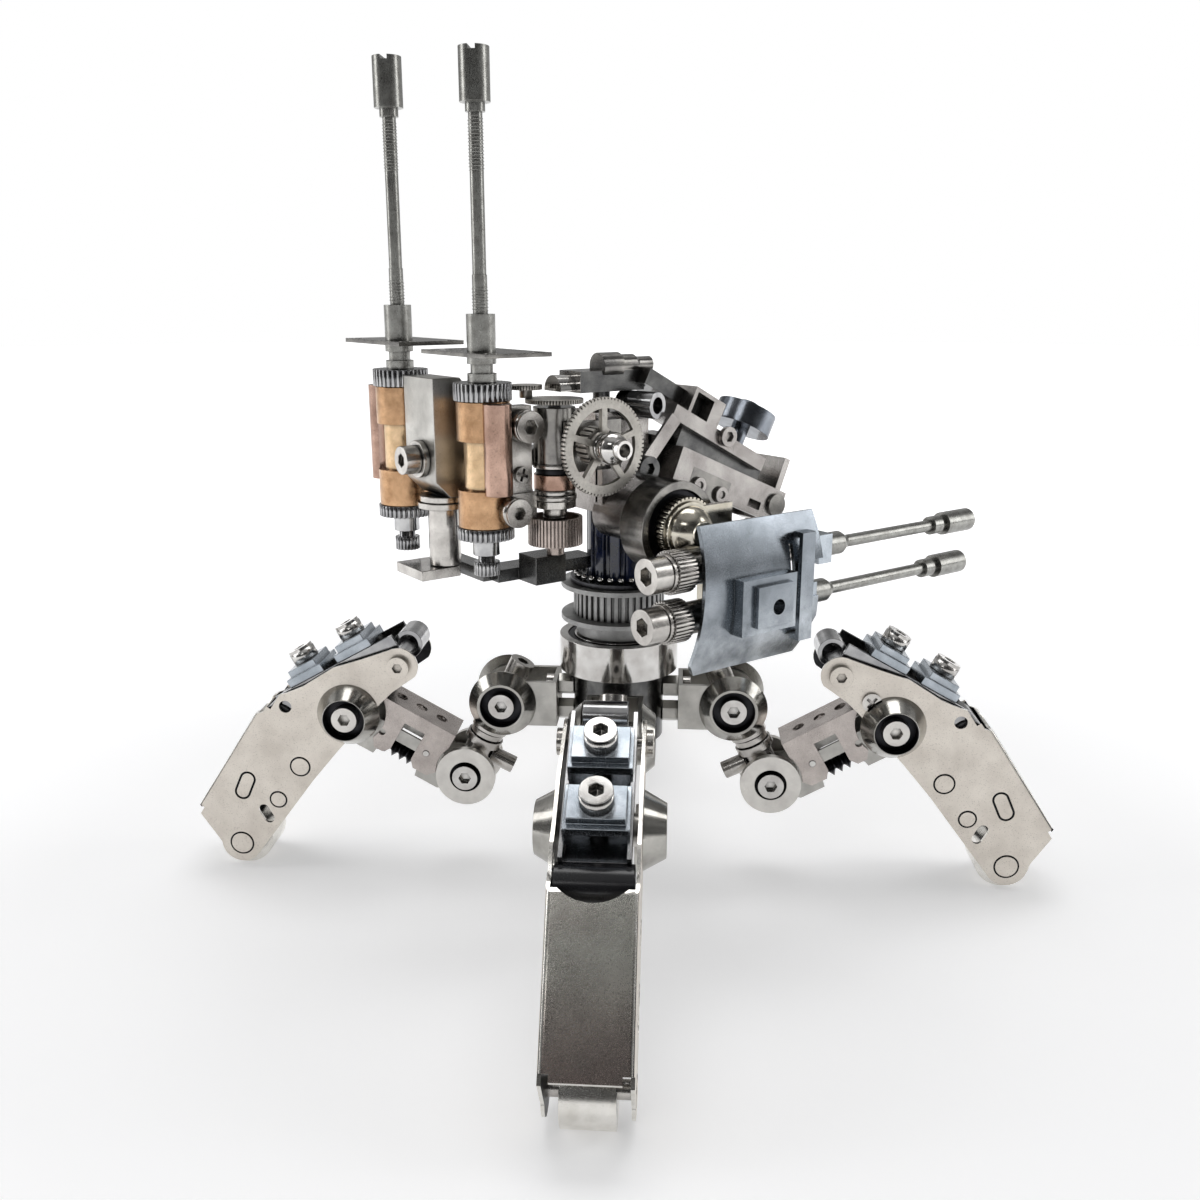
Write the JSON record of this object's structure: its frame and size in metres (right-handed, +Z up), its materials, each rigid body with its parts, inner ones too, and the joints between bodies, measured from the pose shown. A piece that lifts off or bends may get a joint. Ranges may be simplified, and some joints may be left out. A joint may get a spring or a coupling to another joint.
{
  "type": "walking robot figure",
  "caption": "Posable walking-machine figure built from metal hardware: folded-sheet legs on a hub, and a turning turret with tilting guns, shield, hood and a rear pod with tall rods.",
  "frame": {"origin": "on the floor under the hub axis, which is the centre of the four feet", "axes": "+Z up along the hub axis, +X along the right leg, -Y along the front leg; the turret is turned 40 degrees from +X towards +Y at rest"},
  "size_m": [0.2374, 0.2374, 0.2131],
  "materials": {
    "dark_chrome": "dark polished chrome",
    "bearing_steel": "ground bearing steel",
    "pulley_grey": "bead-blasted grey aluminium",
    "black_steel": "black oxide steel",
    "black_core": "glossy blue-black plastic",
    "bright_steel": "bright nickel plate",
    "warm_nickel": "satin warm nickel plate",
    "dark_nickel": "darkened satin nickel",
    "blue_zinc": "bluish bright zinc plate on steel",
    "brass": "satin brass"
  },
  "bodies": {
    "hub": {"hub_column": "dark_chrome", "base_bearing": "bearing_steel", "right_hip_bracket": "bright_steel", "rear_hip_bracket": "bright_steel", "left_hip_bracket": "bright_steel", "front_hip_bracket": "bright_steel"},
    "turret": {"timing_pulley": "pulley_grey", "ball_race": "black_steel", "turret_core": "black_core", "turret_frame": "bright_steel", "gearbox_post": "bright_steel", "side_bearing": "bearing_steel", "pod_sleeves": "brass", "pod_rings": "dark_nickel", "pod_plates": "dark_nickel", "right_antenna": "dark_nickel", "left_antenna": "dark_nickel", "pod_clamp": "bright_steel", "hood_arms": "warm_nickel", "hood_fittings": "bright_steel"},
    "guns": {"gun_cradle": "warm_nickel", "gun_barrels": "warm_nickel", "shield_plate": "blue_zinc"},
    "gear": {"spoked_gear": "bright_steel"},
    "right_link": {"right_drop_link": "bright_steel", "right_link_pivots": "warm_nickel"},
    "right_thigh": {"right_thigh_channel": "warm_nickel", "right_thigh_link": "bright_steel", "right_spiral_screw": "black_steel"},
    "right_shin": {"right_shin_shell": "warm_nickel", "right_shin_pins": "bright_steel", "right_shin_clamps": "blue_zinc", "right_shin_rollers": "bearing_steel"},
    "rear_link": {"rear_drop_link": "bright_steel", "rear_link_pivots": "warm_nickel"},
    "rear_thigh": {"rear_thigh_channel": "warm_nickel", "rear_thigh_link": "bright_steel", "rear_spiral_screw": "black_steel"},
    "rear_shin": {"rear_shin_shell": "warm_nickel", "rear_shin_pins": "bright_steel", "rear_shin_clamps": "blue_zinc", "rear_shin_rollers": "bearing_steel"},
    "left_link": {"left_drop_link": "bright_steel", "left_link_pivots": "warm_nickel"},
    "left_thigh": {"left_thigh_channel": "warm_nickel", "left_thigh_link": "bright_steel", "left_spiral_screw": "black_steel"},
    "left_shin": {"left_shin_shell": "warm_nickel", "left_shin_pins": "bright_steel", "left_shin_clamps": "blue_zinc", "left_shin_rollers": "bearing_steel"},
    "front_link": {"front_drop_link": "bright_steel", "front_link_pivots": "warm_nickel"},
    "front_thigh": {"front_thigh_channel": "warm_nickel", "front_thigh_link": "bright_steel", "front_spiral_screw": "black_steel"},
    "front_shin": {"front_shin_shell": "warm_nickel", "front_shin_pins": "bright_steel", "front_shin_clamps": "blue_zinc", "front_shin_rollers": "bearing_steel"}
  },
  "joints": [
    {"name": "turret_yaw", "type": "hinge", "parent": "hub", "child": "turret", "pos_m": [0, 0, 0.065], "axis": [0, 0, 1], "continuous": true},
    {"name": "gun_elevation", "type": "hinge", "parent": "turret", "child": "guns", "pos_m": [0.01585, -0.02978, 0.1045], "axis": [0.6428, -0.766, 0], "range_deg": [-3, 12]},
    {"name": "gear_spin", "type": "hinge", "parent": "turret", "child": "gear", "pos_m": [-0.00271, -0.03099, 0.124], "axis": [0.6428, -0.766, 0], "continuous": true},
    {"name": "right_hip", "type": "hinge", "parent": "hub", "child": "right_link", "pos_m": [0.0312, 0, 0.0509], "axis": [0, -1, 0], "range_deg": [-15, 3]},
    {"name": "right_mid", "type": "hinge", "parent": "right_link", "child": "right_thigh", "pos_m": [0.0419, 0, 0.0294], "axis": [0, -1, 0], "range_deg": [-12, 3]},
    {"name": "right_knee", "type": "hinge", "parent": "right_thigh", "child": "right_shin", "pos_m": [0.0735, 0, 0.0473], "axis": [0, -1, 0], "range_deg": [-15, 6]},
    {"name": "rear_hip", "type": "hinge", "parent": "hub", "child": "rear_link", "pos_m": [0, 0.0312, 0.0509], "axis": [1, 0, 0], "range_deg": [-15, 3]},
    {"name": "rear_mid", "type": "hinge", "parent": "rear_link", "child": "rear_thigh", "pos_m": [0, 0.0419, 0.0294], "axis": [1, 0, 0], "range_deg": [-12, 3]},
    {"name": "rear_knee", "type": "hinge", "parent": "rear_thigh", "child": "rear_shin", "pos_m": [0, 0.0735, 0.0473], "axis": [1, 0, 0], "range_deg": [-15, 6]},
    {"name": "left_hip", "type": "hinge", "parent": "hub", "child": "left_link", "pos_m": [-0.0312, 0, 0.0509], "axis": [0, 1, 0], "range_deg": [-15, 3]},
    {"name": "left_mid", "type": "hinge", "parent": "left_link", "child": "left_thigh", "pos_m": [-0.0419, 0, 0.0294], "axis": [0, 1, 0], "range_deg": [-12, 3]},
    {"name": "left_knee", "type": "hinge", "parent": "left_thigh", "child": "left_shin", "pos_m": [-0.0735, 0, 0.0473], "axis": [0, 1, 0], "range_deg": [-15, 6]},
    {"name": "front_hip", "type": "hinge", "parent": "hub", "child": "front_link", "pos_m": [0, -0.0312, 0.0509], "axis": [-1, 0, 0], "range_deg": [-15, 3]},
    {"name": "front_mid", "type": "hinge", "parent": "front_link", "child": "front_thigh", "pos_m": [0, -0.0419, 0.0294], "axis": [-1, 0, 0], "range_deg": [-12, 3]},
    {"name": "front_knee", "type": "hinge", "parent": "front_thigh", "child": "front_shin", "pos_m": [0, -0.0735, 0.0473], "axis": [-1, 0, 0], "range_deg": [-15, 6]}
  ]
}
